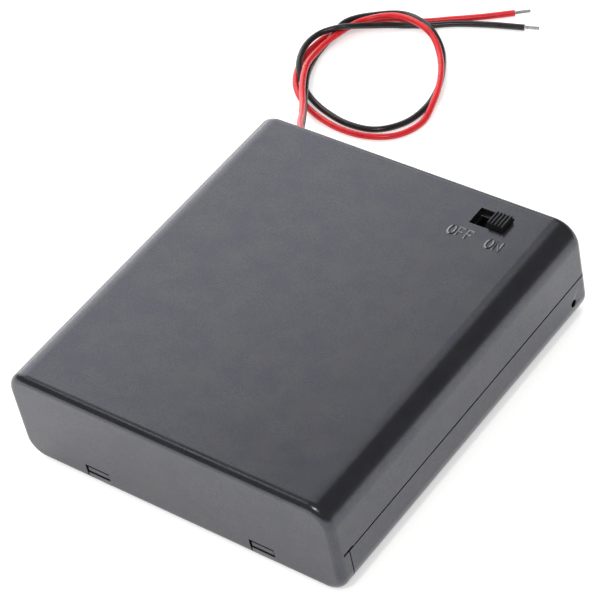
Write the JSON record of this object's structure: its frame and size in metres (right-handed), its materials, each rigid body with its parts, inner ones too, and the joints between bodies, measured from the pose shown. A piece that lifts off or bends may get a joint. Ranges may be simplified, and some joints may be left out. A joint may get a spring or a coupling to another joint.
{
  "type": "cylindrical cell holder",
  "caption": "Flat enclosed holder for cylindrical cells lying side by side, with a snap cover underneath, a slide switch in the top face and two free insulated leads.",
  "frame": {"origin": "centre of the case's footprint, on the surface that its cover lies on", "axes": "+X across the cells, +Y along the cells to the end that the leads leave, +Z to the face with the switch"},
  "size_m": [0.0847, 0.1333, 0.0205],
  "materials": {
    "case": "fine matte grain",
    "knob": "satin",
    "switch_shell": "bright plated",
    "switch_base": "fine matte grain",
    "terminal": "plated",
    "contact_plate": "nickel plated",
    "spring": "nickel plated",
    "red_insulation": "soft gloss",
    "black_insulation": "soft gloss",
    "tinned_end": "tinned"
  },
  "bodies": {
    "case": {"housing": "case", "switch_frame": "switch_shell", "switch_base": "switch_base", "switch_terminal_1": "terminal", "switch_terminal_2": "terminal", "switch_terminal_3": "terminal", "link_plate_12": "contact_plate", "link_plate_23": "contact_plate", "link_plate_34": "contact_plate", "negative_plate": "contact_plate", "positive_plate": "contact_plate", "spring_1": "spring", "spring_2": "spring", "spring_3": "spring", "spring_4": "spring", "positive_jumper": "red_insulation", "red_lead": "red_insulation", "black_lead": "black_insulation", "red_lead_tip": "tinned_end", "black_lead_tip": "tinned_end"},
    "cover_body": {"cover": "case"},
    "knob": {"switch_knob": "knob", "switch_wiper": "terminal"}
  },
  "joints": [
    {"name": "cover_hinge", "type": "hinge", "parent": "case", "child": "cover_body", "pos_m": [0, -0.0339, 0], "axis": [-1, 0, 0], "range_deg": [0, 75]},
    {"name": "switch_slide", "type": "slide", "parent": "case", "child": "knob", "axis": [1, 0, 0], "range_m": [-0.0034, 0]}
  ]
}
